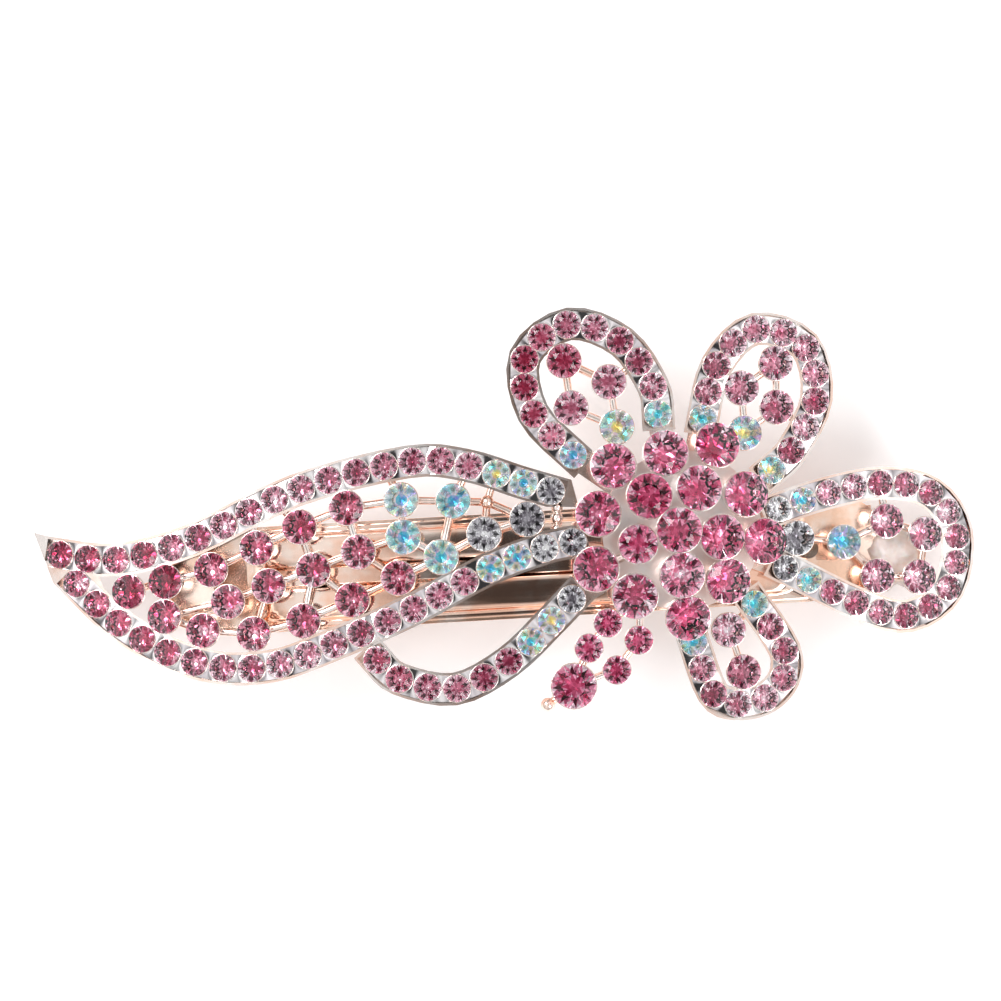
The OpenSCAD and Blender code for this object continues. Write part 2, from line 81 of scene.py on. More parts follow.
# Camera, light and floor
studio = {
    "viewWidth": 100.1 * mm,      # what the picture spans at the stones' height
    "viewCentre": (-0.45 * mm, 1.25 * mm),
    "stoneHeight": 12.5 * mm,
    "cameraDistance": 1200 * mm,
    "sensor": 36.0,
    "floorSize": 3.0,
    "floorColor": (0.93, 0.93, 0.94),
    "floorGlow": 0.20,            # a light table: keeps the paper white round the object
    "skyStrength": 1.05,
    # brightness of the room by the sine of the height above the floor: 1 is straight up
    "skyTones": ((0.0, 0.9), (0.22, 1.6), (0.3, 0.5), (0.42, 0.15), (0.5, 1.0), (0.62, 1.8),
                 (0.7, 0.3), (0.78, 1.0), (0.86, 1.6), (0.91, 0.45), (0.955, 1.3), (0.978, 0.9),
                 (0.99, 0.08)),
    "panelDepth": 0.45, "panelScale": 0.9, "panelWarp": 2.0,
    "keyEnergy": 6.5, "fillShare": 0.6,
    "keySize": 0.5,
}


def makeCamera():
    data = bpy.data.cameras.new("viewCamera")
    camera = bpy.data.objects.new("viewCamera", data)
    bpy.context.collection.objects.link(camera)
    x, y = studio["viewCentre"]
    camera.location = (x, y, studio["stoneHeight"] + studio["cameraDistance"])
    data.sensor_width = studio["sensor"]
    data.lens = studio["sensor"] * studio["cameraDistance"] / studio["viewWidth"]
    data.clip_start = 0.05
    bpy.context.scene.camera = camera


def makeSky():
    world = bpy.data.worlds.new("softRoom")
    bpy.context.scene.world = world
    world.use_nodes = True
    nodes, links = world.node_tree.nodes, world.node_tree.links
    back = nodes["Background"]
    coord = nodes.new("ShaderNodeTexCoord")
    split = nodes.new("ShaderNodeSeparateXYZ")
    links.new(coord.outputs["Generated"], split.inputs[0])
    height = nodes.new("ShaderNodeValToRGB")      # bright and dim bands, with a dark patch straight up
    links.new(split.outputs["Z"], height.inputs[0])
    stops = height.color_ramp.elements
    for stop, (place, tone) in zip(stops, (studio["skyTones"][0], studio["skyTones"][-1])):
        stop.position, stop.color = place, (tone, tone, tone, 1)
    for place, tone in studio["skyTones"][1:-1]:
        stops.new(place).color = (tone, tone, tone, 1)
    panels = nodes.new("ShaderNodeTexWave")       # soft panels with dark gaps between them
    panels.wave_type = "RINGS"
    panels.rings_direction = "X"
    panels.inputs["Scale"].default_value = studio["panelScale"]
    panels.inputs["Distortion"].default_value = studio["panelWarp"]
    links.new(coord.outputs["Generated"], panels.inputs["Vector"])
    shade = mixColor(world.node_tree, studio["panelDepth"], height.outputs["Color"],
                     panels.outputs["Color"], "MULTIPLY")
    links.new(shade, back.inputs["Color"])
    back.inputs["Strength"].default_value = studio["skyStrength"]


def makeLight(name, place, energy, size):
    data = bpy.data.lights.new(name, "AREA")
    data.energy, data.size = energy, size
    lamp = bpy.data.objects.new(name, data)
    bpy.context.collection.objects.link(lamp)
    lamp.location = place
    lamp.rotation_euler = (-Vector(place)).to_track_quat("-Z", "Y").to_euler()


def makeFloor():
    half = studio["floorSize"] / 2
    mesh = bpy.data.meshes.new("floor")
    corners = [(-half, -half, 0), (half, -half, 0), (half, half, 0), (-half, half, 0)]
    mesh.from_pydata(corners, [], [(0, 1, 2, 3)])
    floor = bpy.data.objects.new("floor", mesh)
    bpy.context.collection.objects.link(floor)
    paper = bpy.data.materials.new("paper")
    paper.use_nodes = True
    shader = paper.node_tree.nodes["Principled BSDF"]
    shader.inputs["Base Color"].default_value = (*studio["floorColor"], 1)
    shader.inputs["Roughness"].default_value = 0.9
    shader.inputs["Emission Color"].default_value = (1, 1, 1, 1)
    shader.inputs["Emission Strength"].default_value = studio["floorGlow"]
    mesh.materials.append(paper)


makeCamera()
makeSky()
makeLight("keyLight", (-0.55, 0.45, 0.9), studio["keyEnergy"], studio["keySize"])
makeLight("fillLight", (0.6, -0.5, 0.8), studio["keyEnergy"] * studio["fillShare"], studio["keySize"])
makeFloor()
bpy.context.scene.view_settings.view_transform = "Standard"
print("studio ready")

# Plated metal: soft cloudy colour, rubbed patches, fine casting grain
def makePlatingGroup():
    group, start, end = newGroup("platingFinish", [
        ("Base", "NodeSocketColor", (0.9, 0.6, 0.5, 1)), ("Rubbed", "NodeSocketColor", (1, 0.9, 0.85, 1)),
        ("Cloud Scale", "NodeSocketFloat", 220.0), ("Grain Scale", "NodeSocketFloat", 2600.0),
        ("Roughness", "NodeSocketFloat", 0.16), ("Tumbled", "NodeSocketFloat", 0.0)],
        [("Color", "NodeSocketColor"), ("Roughness", "NodeSocketFloat"), ("Height", "NodeSocketFloat")])
    links = group.links
    coord = group.nodes.new("ShaderNodeTexCoord")
    cloud = addNode(group, "ShaderNodeTexNoise", Detail=3.0, Roughness=0.6)
    grain = addNode(group, "ShaderNodeTexNoise", Detail=2.0)
    for texture, label in ((cloud, "Cloud Scale"), (grain, "Grain Scale")):
        links.new(coord.outputs["Object"], texture.inputs["Vector"])
        links.new(start.outputs[label], texture.inputs["Scale"])
    patch = addNode(group, "ShaderNodeMapRange")
    patch.inputs["From Min"].default_value, patch.inputs["From Max"].default_value = 0.42, 0.62
    links.new(cloud.outputs["Fac"], patch.inputs["Value"])
    shade = mixColor(group, patch.outputs["Result"], start.outputs["Base"], start.outputs["Rubbed"])
    links.new(shade, end.inputs["Color"])
    # flat tops are tumbled rounder than the mesh shows, so they blur what they reflect
    geometry = group.nodes.new("ShaderNodeNewGeometry")
    parts = group.nodes.new("ShaderNodeSeparateXYZ")
    links.new(geometry.outputs["Normal"], parts.inputs[0])
    flat = addNode(group, "ShaderNodeMapRange")
    flat.inputs["From Min"].default_value, flat.inputs["From Max"].default_value = 0.88, 0.95
    links.new(parts.outputs["Z"], flat.inputs["Value"])
    tumbled = addNode(group, "ShaderNodeMath", {"operation": "MULTIPLY_ADD"})
    links.new(flat.outputs["Result"], tumbled.inputs[0])
    links.new(start.outputs["Tumbled"], tumbled.inputs[1])
    links.new(start.outputs["Roughness"], tumbled.inputs[2])
    rough = addNode(group, "ShaderNodeMath", {"operation": "MULTIPLY_ADD"})
    rough.inputs[1].default_value = 0.08
    links.new(cloud.outputs["Fac"], rough.inputs[0])
    links.new(tumbled.outputs[0], rough.inputs[2])
    links.new(rough.outputs[0], end.inputs["Roughness"])
    links.new(grain.outputs["Fac"], end.inputs["Height"])
    return group


# Painted shade and painted highlights on the foil: a lightness for each facet and each stone, from the mesh
def makeFacetGroup():
    group, start, end = newGroup("paintedFacetShade", [
        ("Deep", "NodeSocketColor", (0.2, 0.02, 0.06, 1)), ("Light", "NodeSocketColor", (0.9, 0.5, 0.65, 1)),
        ("Pale", "NodeSocketColor", (1, 0.85, 0.9, 1)), ("Stone Spread", "NodeSocketFloat", 0.35)],
        [("Color", "NodeSocketColor")])
    links = group.links
    facet = addNode(group, "ShaderNodeAttribute", {"attribute_name": "facetTone"})
    stone = addNode(group, "ShaderNodeAttribute", {"attribute_name": "stoneTone"})
    shift = addNode(group, "ShaderNodeMath", {"operation": "SUBTRACT"})
    shift.inputs[1].default_value = 0.5
    links.new(stone.outputs["Fac"], shift.inputs[0])
    total = addNode(group, "ShaderNodeMath", {"operation": "MULTIPLY_ADD", "use_clamp": True})
    links.new(shift.outputs[0], total.inputs[0])
    links.new(start.outputs["Stone Spread"], total.inputs[1])
    links.new(facet.outputs["Fac"], total.inputs[2])
    lower = addNode(group, "ShaderNodeMapRange")
    upper = addNode(group, "ShaderNodeMapRange")
    lower.inputs["From Max"].default_value = 0.6
    upper.inputs["From Min"].default_value = 0.6
    for ramp in (lower, upper):
        links.new(total.outputs[0], ramp.inputs["Value"])
    first = mixColor(group, lower.outputs["Result"], start.outputs["Deep"], start.outputs["Light"])
    links.new(mixColor(group, upper.outputs["Result"], first, start.outputs["Pale"]), end.inputs["Color"])
    return group


# Colours of an iridescent coat, one for each facet
def makeAuroraGroup():
    group, start, end = newGroup("auroraTones", [
        ("Ground", "NodeSocketColor", (1, 1, 1, 1))], [("Color", "NodeSocketColor")])
    links = group.links
    facet = addNode(group, "ShaderNodeAttribute", {"attribute_name": "facetTone"})
    depth = addNode(group, "ShaderNodeAttribute", {"attribute_name": "facetDepth"})
    turn = addNode(group, "ShaderNodeMath", {"operation": "FRACT"})
    links.new(facet.outputs["Fac"], turn.inputs[0])
    ramp = group.nodes.new("ShaderNodeValToRGB")
    stops = ramp.color_ramp.elements
    stops[0].color = (*auroraShades[0][1], 1)
    stops[1].color = (*auroraShades[-1][1], 1)
    for place, shade in auroraShades[1:-1]:
        stops.new(place).color = (*shade, 1)
    links.new(turn.outputs[0], ramp.inputs[0])
    links.new(mixColor(group, depth.outputs["Fac"], start.outputs["Ground"], ramp.outputs["Color"]),
              end.inputs["Color"])
    return group


auroraShades = [(0.0, (0.16, 0.66, 0.80)), (0.10, (0.45, 0.92, 0.92)), (0.24, (0.98, 0.98, 0.98)),
                (0.36, (0.60, 0.88, 0.94)), (0.50, (1.0, 0.90, 0.36)), (0.62, (1.0, 0.97, 0.94)),
                (0.78, (1.0, 0.66, 0.82)), (0.90, (0.62, 0.55, 0.95)), (1.0, (0.16, 0.66, 0.80))]
platingGroup = makePlatingGroup()
facetGroup = makeFacetGroup()
auroraGroup = makeAuroraGroup()


def newMaterial(name):
    material = bpy.data.materials.new(name)
    material.use_nodes = True
    return material, material.node_tree, material.node_tree.nodes["Principled BSDF"]


def placeGroup(tree, group, **values):
    node = tree.nodes.new("ShaderNodeGroup")
    node.node_tree = group
    for key, value in values.items():
        node.inputs[key.replace("_", " ")].default_value = value
    return node


platedMetal = {
    "roseGold": {"Base": (0.94, 0.70, 0.60, 1), "Rubbed": (1.0, 0.92, 0.88, 1), "Roughness": 0.05,
                 "Tumbled": 0.13, "bump": 0.10},
    "hubCast": {"Base": (1.0, 0.84, 0.78, 1), "Rubbed": (1.0, 0.95, 0.92, 1), "Roughness": 0.28,
                "Tumbled": 0.05, "bump": 0.5},
    "clipSteel": {"Base": (0.94, 0.62, 0.46, 1), "Rubbed": (0.99, 0.82, 0.72, 1), "Roughness": 0.12,
                  "Tumbled": 0.05, "bump": 0.12},
    "stampedPlate": {"Base": (0.97, 0.60, 0.45, 1), "Rubbed": (1.0, 0.81, 0.71, 1), "Roughness": 0.07,
                     "Tumbled": 0.0, "bump": 0.05, "streaks": 0.4, "streakScale": (22, 260, 40),
                     "streakDepth": 0.25 * mm},
    "brightBead": {"Base": (0.96, 0.84, 0.78, 1), "Rubbed": (1.0, 0.95, 0.92, 1), "Roughness": 0.05,
                   "Tumbled": 0.0, "bump": 0.02},
    # metal between the stones: its darker grey-mauve base is painted shade, mixed by cloud noise with
    # near-white
    "bandFill": {"Base": (0.74, 0.68, 0.71, 1), "Rubbed": (0.98, 0.94, 0.94, 1), "Roughness": 0.02,
                 "Tumbled": 0.0, "bump": 0.05},
    "dullSolder": {"Base": (0.62, 0.56, 0.52, 1), "Rubbed": (0.80, 0.75, 0.70, 1), "Roughness": 0.35,
                   "Tumbled": 0.0, "bump": 0.35},
}


def makePlated(name, look):
    material, tree, shader = newMaterial(name)
    finish = placeGroup(tree, platingGroup,
                        **{key: look[key] for key in ("Base", "Rubbed", "Roughness", "Tumbled")})
    tree.links.new(finish.outputs["Color"], shader.inputs["Base Color"])
    tree.links.new(finish.outputs["Roughness"], shader.inputs["Roughness"])
    bump = addNode(tree, "ShaderNodeBump", Strength=look["bump"], Distance=0.03 * mm)
    tree.links.new(finish.outputs["Height"], bump.inputs["Height"])
    if "streaks" in look:
        coord = tree.nodes.new("ShaderNodeTexCoord")
        turned = tree.nodes.new("ShaderNodeMapping")
        turned.inputs["Rotation"].default_value = (0, 0, -barretteTurn)
        turned.inputs["Scale"].default_value = look["streakScale"]
        tree.links.new(coord.outputs["Object"], turned.inputs["Vector"])
        marks = addNode(tree, "ShaderNodeTexNoise", Scale=1.0, Detail=3.0, Roughness=0.6)
        tree.links.new(turned.outputs["Vector"], marks.inputs["Vector"])
        waves = addNode(tree, "ShaderNodeBump", Strength=look["streaks"], Distance=look["streakDepth"])
        tree.links.new(marks.outputs["Fac"], waves.inputs["Height"])
        tree.links.new(waves.outputs["Normal"], bump.inputs["Normal"])
    tree.links.new(bump.outputs["Normal"], shader.inputs["Normal"])
    shader.inputs["Metallic"].default_value = 1.0
    return material


# Light meets the foil twice, so these are paler than the stone looks. On the foil, deep is painted shade and
# pale is painted highlight
stoneLooks = {
    "rose": {"glass": (0.99, 0.87, 0.91), "deep": (0.52, 0.11, 0.20), "light": (0.98, 0.55, 0.66),
             "pale": (1.0, 0.95, 0.97)},
    "mauve": {"glass": (0.99, 0.90, 0.93), "deep": (0.50, 0.15, 0.24), "light": (0.98, 0.66, 0.75),
              "pale": (1.0, 0.97, 0.99)},
    "wine": {"glass": (0.97, 0.80, 0.86), "deep": (0.42, 0.07, 0.15), "light": (0.92, 0.42, 0.54),
             "pale": (1.0, 0.88, 0.92)},
    "centre": {"glass": (0.99, 0.86, 0.91), "deep": (0.54, 0.10, 0.22), "light": (0.99, 0.46, 0.62),
               "pale": (1.0, 0.93, 0.96)},
    "clear": {"glass": (1.0, 1.0, 1.0), "deep": (0.30, 0.28, 0.31), "light": (0.95, 0.94, 0.97),
              "pale": (1.0, 1.0, 1.0)},
}


glassSettings = {"ior": 1.56, "polishMarks": 0.012, "auroraTint": (1.0, 1.0, 1.0), "auroraFilm": 330.0,
                 "filmIor": 1.9, "foilRoughness": 0.03, "auroraFoilRoughness": 0.14}


def makeGlass(name, tint, film=0.0):
    material, tree, shader = newMaterial(name)
    # faint specks and polish marks
    coord = tree.nodes.new("ShaderNodeTexCoord")
    specks = addNode(tree, "ShaderNodeTexNoise", Scale=900.0, Detail=2.0)
    tree.links.new(coord.outputs["Object"], specks.inputs["Vector"])
    polish = addNode(tree, "ShaderNodeMapRange")
    polish.inputs["To Max"].default_value = glassSettings["polishMarks"]
    tree.links.new(specks.outputs["Fac"], polish.inputs["Value"])
    tree.links.new(polish.outputs["Result"], shader.inputs["Roughness"])
    shade = mixColor(tree, specks.outputs["Fac"], (*tint, 1), (*[0.25 + 0.75 * c for c in tint], 1))
    tree.links.new(shade, shader.inputs["Base Color"])
    shader.inputs["Transmission Weight"].default_value = 1.0
    shader.inputs["IOR"].default_value = glassSettings["ior"]
    if film:
        shader.inputs["Thin Film Thickness"].default_value = film
        shader.inputs["Thin Film IOR"].default_value = glassSettings["filmIor"]
    return material


def makeFoil(name, look=None):
    material, tree, shader = newMaterial(name)
    if look:
        # the foil's colour is painted shade and painted highlights, facet by facet
        tones = placeGroup(tree, facetGroup, Deep=(*look["deep"], 1), Light=(*look["light"], 1),
                           Pale=(*look["pale"], 1))
    else:
        tones = placeGroup(tree, auroraGroup)
    tree.links.new(tones.outputs["Color"], shader.inputs["Base Color"])
    shader.inputs["Metallic"].default_value = 1.0
    roughness = "foilRoughness" if look else "auroraFoilRoughness"
    shader.inputs["Roughness"].default_value = glassSettings[roughness]
    return material


metalMaterials = {name: makePlated(name, look) for name, look in platedMetal.items()}
glassMaterials = {name: makeGlass(name + "Glass", look["glass"]) for name, look in stoneLooks.items()}
glassMaterials["aurora"] = makeGlass("auroraGlass", glassSettings["auroraTint"],
                                     film=glassSettings["auroraFilm"])
foilMaterials = {name: makeFoil(name + "Foil", look) for name, look in stoneLooks.items()}
foilMaterials["aurora"] = makeFoil("auroraFoil")


def makeGlue():
    material, tree, shader = newMaterial("hardGlue")
    coord = tree.nodes.new("ShaderNodeTexCoord")
    lumps = addNode(tree, "ShaderNodeTexNoise", Scale=900.0, Detail=4.0)
    tree.links.new(coord.outputs["Object"], lumps.inputs["Vector"])
    shade = mixColor(tree, lumps.outputs["Fac"], (0.62, 0.44, 0.38, 1), (0.98, 0.95, 0.93, 1))
    tree.links.new(shade, shader.inputs["Base Color"])
    bump = addNode(tree, "ShaderNodeBump", Strength=0.8, Distance=0.2 * mm)
    tree.links.new(lumps.outputs["Fac"], bump.inputs["Height"])
    tree.links.new(bump.outputs["Normal"], shader.inputs["Normal"])
    shader.inputs["Roughness"].default_value = 0.3
    shader.inputs["Subsurface Weight"].default_value = 0.2
    return material


glueMaterial = makeGlue()
print("materials ready")

# Places of the stones, read from the CAD nodes
def looseSolids(node):
    # every separate solid of a CAD node, as its merged faces
    source = bmesh.new()
    source.from_mesh(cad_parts[node].data)
    bmesh.ops.remove_doubles(source, verts=source.verts, dist=1e-6)
    source.normal_update()
    seen, solids = set(), []
    for first in source.verts:
        if first in seen:
            continue
        seen.add(first)
        waiting, faces = [first], set()
        while waiting:
            vert = waiting.pop()
            faces.update(vert.link_faces)
            for edge in vert.link_edges:
                other = edge.other_vert(vert)
                if other not in seen:
                    seen.add(other)
                    waiting.append(other)
        if faces:
            solids.append(list(faces))
    return source, solids


def readStone(faces):
    # the table is the largest flat that faces up: it gives the stone's axis and middle
    flats = {}
    for face in faces:
        if face.normal.z > 0.7:
            key = tuple(round(c, 2) for c in face.normal)
            flats.setdefault(key, []).append(face)
    table = max(flats.values(), key=lambda group: sum(f.calc_area() for f in group))
    area = sum(f.calc_area() for f in table)
    middle = sum((f.calc_center_median() * f.calc_area() for f in table), Vector()) / area
    axis = sum((f.normal * f.calc_area() for f in table), Vector()).normalized()
    offsets = [v.co - middle for f in faces for v in f.verts]
    radius = max((offset - axis * offset.dot(axis)).length for offset in offsets)
    return {"place": middle - axis * 0.38 * radius, "axis": axis, "radius": radius}


def readStones(node):
    source, solids = looseSolids(node)
    found = sorted((readStone(faces) for faces in solids),
                   key=lambda stone: (round(stone["place"].x, 5), stone["place"].y))
    source.free()
    return found


def newPiece(name, verts, faces, materials, body=baseBody, smooth=False):
    mesh = bpy.data.meshes.new(name)
    mesh.from_pydata(verts, [], faces)
    mesh.polygons.foreach_set("use_smooth", [smooth] * len(mesh.polygons))
    for material in materials:
        mesh.materials.append(material)
    piece = bpy.data.objects.new(name, mesh)
    bpy.context.collection.objects.link(piece)
    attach(piece, body)
    return piece


def tidyNormals(mesh, merge=False):
    work = bmesh.new()
    work.from_mesh(mesh)
    if merge:
        bmesh.ops.remove_doubles(work, verts=work.verts, dist=1e-6)
    bmesh.ops.recalc_face_normals(work, faces=work.faces)
    work.to_mesh(mesh)
    work.free()


# Cut stones, in place of the plain CAD cones
stoneCut = {
    "tableRadius": 0.54, "tableHeight": 0.38,
    "starRadius": 0.80, "girdleTop": 0.08,
    "backRadius": 0.36, "backDepth": 0.80,
    # lightness of the back facets on the foil by kind: dark is painted shade, bright a painted highlight; the
    # hearts round the point get painted shade and painted highlight in random amounts
    "tones": {"crown": 0.5, "girdle": 0.7, "dark": 0.22, "bright": 1.0, "middle": 0.6},
    "hearts": (0.15, 0.2, 0.45, 0.8),     # tone of the facets round the point
    "heartSpread": 0.15, "toneSpread": 0.4, "auroraSpread": 0.05, "auroraDepth": (0.2, 1.0),
}
auroraHearts = (0.0, 0.03, 0.98, 0.06, 0.5, 0.5)      # where those facets fall in the coat's colours

# glass family of each stone node, then the family and number of its leftmost stones
stonePlan = {
    "leaf_band_rose": ("mauve", "wine", 9), "leaf_inner_rose": ("rose", "wine", 5),
    "loop_rose": ("mauve", "rose", 2), "upper_left_rose": ("mauve", "rose", 6),
    "upper_right_rose": ("mauve", "rose", 0), "right_rose": ("mauve", "rose", 0),
    "lower_rose": ("mauve", "rose", 0), "centre_rose": ("centre", "centre", 0),
    "sprig_rose": ("centre", "centre", 0),
    "leaf_band_aurora": ("aurora", "aurora", 0), "leaf_inner_aurora": ("aurora", "aurora", 0),
    "loop_aurora": ("aurora", "aurora", 0), "upper_left_aurora": ("aurora", "aurora", 0),
    "upper_right_aurora": ("aurora", "aurora", 0), "right_aurora": ("aurora", "aurora", 0),
    "lower_aurora": ("aurora", "aurora", 0),
    "leaf_band_clear": ("clear", "clear", 0), "leaf_inner_clear": ("clear", "clear", 0),
    "loop_clear": ("clear", "clear", 0), "right_clear": ("clear", "clear", 0),
}


def ring(radius, height, turn=0.0, count=8):
    step = 2 * math.pi / count
    return [Vector((radius * math.cos(step * k + turn), radius * math.sin(step * k + turn), height))
            for k in range(count)]


def cutStone():
    # a brilliant cut of unit radius: corners, and faces as (corners, kind)
    c = stoneCut
    half = math.pi / 8
    slope = (c["tableHeight"] - c["girdleTop"]) / (1 - c["tableRadius"])
    starHeight = c["tableHeight"] - slope * (c["starRadius"] * math.cos(half) - c["tableRadius"])
    backHeight = c["backDepth"] * (c["backRadius"] * math.cos(half) - 1)
    corners = ring(c["tableRadius"], c["tableHeight"]) + ring(c["starRadius"], starHeight, half)
    corners += ring(1, c["girdleTop"]) + ring(1, c["girdleTop"], half)
    corners += ring(1, 0) + ring(1, 0, half)
    corners += ring(c["backRadius"], backHeight, half) + [Vector((0, 0, -c["backDepth"]))]
    table, star, mainTop, halfTop, mainLow, halfLow, back, point = (8 * k for k in range(8))
    faces = [([table + k for k in range(8)], "crown")]
    for k in range(8):
        n, p = (k + 1) % 8, (k - 1) % 8
        faces += [([table + k, star + k, table + n], "crown"),
                  ([table + k, star + p, mainTop + k, star + k], "crown"),
                  ([star + k, mainTop + k, halfTop + k], "crown"),
                  ([star + k, halfTop + k, mainTop + n], "crown"),
                  ([mainTop + k, mainLow + k, halfLow + k, halfTop + k], "girdle"),
                  ([halfTop + k, halfLow + k, mainLow + n, mainTop + n], "girdle"),
                  ([back + p, back + k, mainLow + k], "dark"),
                  ([back + k, halfLow + k, mainLow + k], "bright"),
                  ([back + k, mainLow + n, halfLow + k], "middle"),
                  ([point, back + k, back + p], "heart")]
    return corners, faces


cutCorners, cutFaces = cutStone()


def stoneTurn(stone, spin):
    # from unit stone to its place: size, spin about its own axis, tilt, place
    tilt = Vector((0, 0, 1)).rotation_difference(stone["axis"]).to_matrix().to_4x4()
    return (Matrix.Translation(stone["place"]) @ tilt @ Matrix.Rotation(spin, 4, "Z")
            @ Matrix.Scale(stone["radius"], 4))


def facetTone(rng, kind, heart):
    # how light a back facet is, from 0 to 1: low is painted shade, high is painted highlight
    if kind == "heart":
        spread = stoneCut["heartSpread"]
        return heart + rng.uniform(-spread, spread)
    spread = stoneCut["toneSpread"]
    return stoneCut["tones"][kind] + rng.uniform(-spread, spread)


def makeStones(node, family, deeper, deepCount):
    stones = readStones(node)
    rng = random.Random(node)
    materials = [glassMaterials[family], foilMaterials[family], glassMaterials[deeper], foilMaterials[deeper]]
    near = stoneCut["auroraSpread"]
    verts, faces, slots, tones, depths, own = [], [], [], [], [], []
    for index, stone in enumerate(stones):
        place = stoneTurn(stone, rng.uniform(0, math.pi / 4))
        stoneTone = rng.random()
        heart = rng.choice(auroraHearts if family == "aurora" else stoneCut["hearts"])
        base = len(verts)
        verts += [place @ corner for corner in cutCorners]
        for corners, kind in cutFaces:
            faces.append([base + k for k in corners])
            slots.append((2 if index < deepCount else 0) + (0 if kind == "crown" else 1))
            if family == "aurora":      # here the tone is a place in the ramp of coat colours
                tones.append(heart + rng.uniform(-near, near) if kind == "heart" else rng.random())
            else:
                tones.append(facetTone(rng, kind, heart))
            depths.append(1.0 if kind == "heart" else rng.uniform(*stoneCut["auroraDepth"]))
            own.append(stoneTone)
    piece = newPiece(node + "_cut", verts, faces, materials)
    mesh = piece.data
    mesh.polygons.foreach_set("material_index", slots)
    for label, values in (("facetTone", tones), ("facetDepth", depths), ("stoneTone", own)):
        mesh.attributes.new(label, "FLOAT", "FACE").data.foreach_set("value", values)
    tidyNormals(mesh)
    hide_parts(node)
    return stones


allStones = {}
for nodeName, plan in stonePlan.items():
    allStones[nodeName] = makeStones(nodeName, *plan)
print("stones cut:", sum(len(s) for s in allStones.values()))

# Bright lips, rolled over the edges of the stones
seatLip = {"wire": 0.07 * mm, "sides": 6, "steps": 28, "drop": 0.10, "outward": 1.02}


def makeLips(name, stones):
    verts, faces = [], []
    sides, steps = seatLip["sides"], seatLip["steps"]
    for stone in stones:
        place = stoneTurn(dict(stone, radius=1.0), 0)
        reach = stone["radius"] * seatLip["outward"]
        base = len(verts)
        for k in range(steps):
            turn = 2 * math.pi * k / steps
            for j in range(sides):
                bend = 2 * math.pi * j / sides
                out = reach + seatLip["wire"] * math.cos(bend)
                up = seatLip["wire"] * 1.6 * math.sin(bend) - seatLip["drop"] * stone["radius"]
                verts.append(place @ Vector((out * math.cos(turn), out * math.sin(turn), up)))
        for k in range(steps):
            for j in range(sides):
                a, b = k * sides + j, k * sides + (j + 1) % sides
                c, d = ((k + 1) % steps) * sides + (j + 1) % sides, ((k + 1) % steps) * sides + j
                faces.append([base + a, base + d, base + c, base + b])
    return newPiece(name, verts, faces, [metalMaterials["brightBead"]], smooth=True)


lipGroups = {
    "leaf_lips": ["leaf_band_rose", "leaf_band_aurora", "leaf_band_clear", "leaf_inner_rose",
                  "leaf_inner_aurora", "leaf_inner_clear"],
    "loop_lips": ["loop_rose", "loop_aurora", "loop_clear"],
    "petal_lips": ["upper_left_rose", "upper_left_aurora", "upper_right_rose", "upper_right_aurora",
                   "right_rose", "right_aurora", "right_clear", "lower_rose", "lower_aurora"],
    "centre_lips": ["centre_rose", "sprig_rose"],
}
for lipName, owners in lipGroups.items():
    makeLips(lipName, [stone for owner in owners for stone in allStones[owner]])
print("lips rolled")

# Metal between neighbouring stones of a band
bandFill = {"halfWidth": 1.4 * mm, "below": 0.14 * mm, "reach": 1.14, "rows": 14, "columns": 4,
            "dish": 0.05 * mm, "tilt": 0.10, "stoneLimit": 1.5 * mm}


def fillBetween(rng, a, b, verts, faces):
    # one plate, from the round of one stone to the round of the next
    step = b["place"] - a["place"]
    up = (a["axis"] + b["axis"]).normalized()
    along = step.normalized()
    across = up.cross(along)
    middle = (a["place"] + b["place"]) / 2 - up * bandFill["below"]
    half, wide = step.length / 2, bandFill["halfWidth"]
    rows, columns = bandFill["rows"], bandFill["columns"]
    tiltAlong, tiltAcross = (rng.uniform(-1, 1) * bandFill["tilt"] for k in range(2))
    base = len(verts)
    for j in range(rows + 1):
        v = wide * (2 * j / rows - 1)
        left = -half + math.sqrt(max(0, a["radius"] ** 2 - v * v))
        right = half - math.sqrt(max(0, b["radius"] ** 2 - v * v))
        if left > right:
            left = right = (left + right) / 2
        for k in range(columns + 1):
            share = k / columns
            u = left + (right - left) * share
            dish = bandFill["dish"] * 4 * share * (1 - share) * (abs(v) / wide)
            lift = tiltAlong * u + tiltAcross * (abs(v) - wide / 2) - dish
            verts.append(middle + along * u + across * v + up * lift)
    rowLength = columns + 1
    for j in range(rows):
        for k in range(columns):
            corner = base + j * rowLength + k
            faces.append([corner, corner + 1, corner + rowLength + 1, corner + rowLength])


def makeFills(name, owners):
    stones = [stone for owner in owners for stone in allStones[owner]
              if stone["radius"] < bandFill["stoneLimit"]]
    rng = random.Random(name)
    verts, faces = [], []
    for index, a in enumerate(stones):
        for b in stones[index + 1:]:
            if (a["place"] - b["place"]).length < bandFill["reach"] * (a["radius"] + b["radius"]):
                fillBetween(rng, a, b, verts, faces)
    piece = newPiece(name, verts, faces, [metalMaterials["bandFill"]], smooth=True)
    tidyNormals(piece.data)


for name in ("leaf_band", "loop", "upper_left", "upper_right", "right", "lower"):
    makeFills(name + "_fill", [node for node in stonePlan if node.startswith(name + "_")
                               and not node.startswith("leaf_inner")])
print("bands filled")

# Castings and barrette keep their CAD shape, with softened edges
metalNodes = {
    "roseGold": (["leaf_frame", "loop_band", "petal_upper_left", "petal_upper_right", "petal_right",
                  "petal_lower", "sprig"], 0.10 * mm),
    "hubCast": (["flower_centre"], 0.10 * mm),
    "clipSteel": (["base_plate", "clasp_arm", "tension_strip", "catch_bracket", "catch_jaw_front",
                   "catch_jaw_back", "hinge_pin", "strip_rivets", "catch_rivet"], 0.25 * mm),
    "dullSolder": (["solder_pads"], 0.05 * mm),
}


